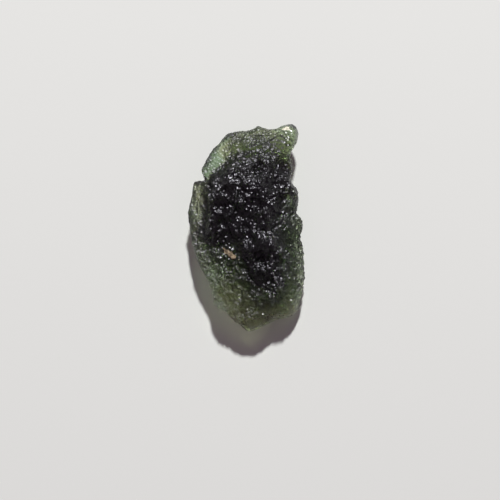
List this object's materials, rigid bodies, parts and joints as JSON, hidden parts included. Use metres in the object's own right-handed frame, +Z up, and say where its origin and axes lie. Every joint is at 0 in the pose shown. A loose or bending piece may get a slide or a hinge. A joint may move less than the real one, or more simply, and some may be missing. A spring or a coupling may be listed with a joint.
{
  "type": "moldavite",
  "caption": "Natural rough piece of dark green impact glass, flat and longer than wide, with an etched pitted surface, paler thin edges and a worn flat patch to rest on.",
  "frame": {"origin": "on the resting face, under the middle of the stone's bounding box", "axes": "+Z up from the resting face through the thickness, +Y along the length towards the horn, +X along the width"},
  "size_m": [0.017, 0.03, 0.0091],
  "materials": {
    "impact_glass": "bottle-green natural glass, etched satin surface, near black where thick"
  },
  "bodies": {
    "root": {"moldavite": "impact_glass"}
  },
  "joints": []
}
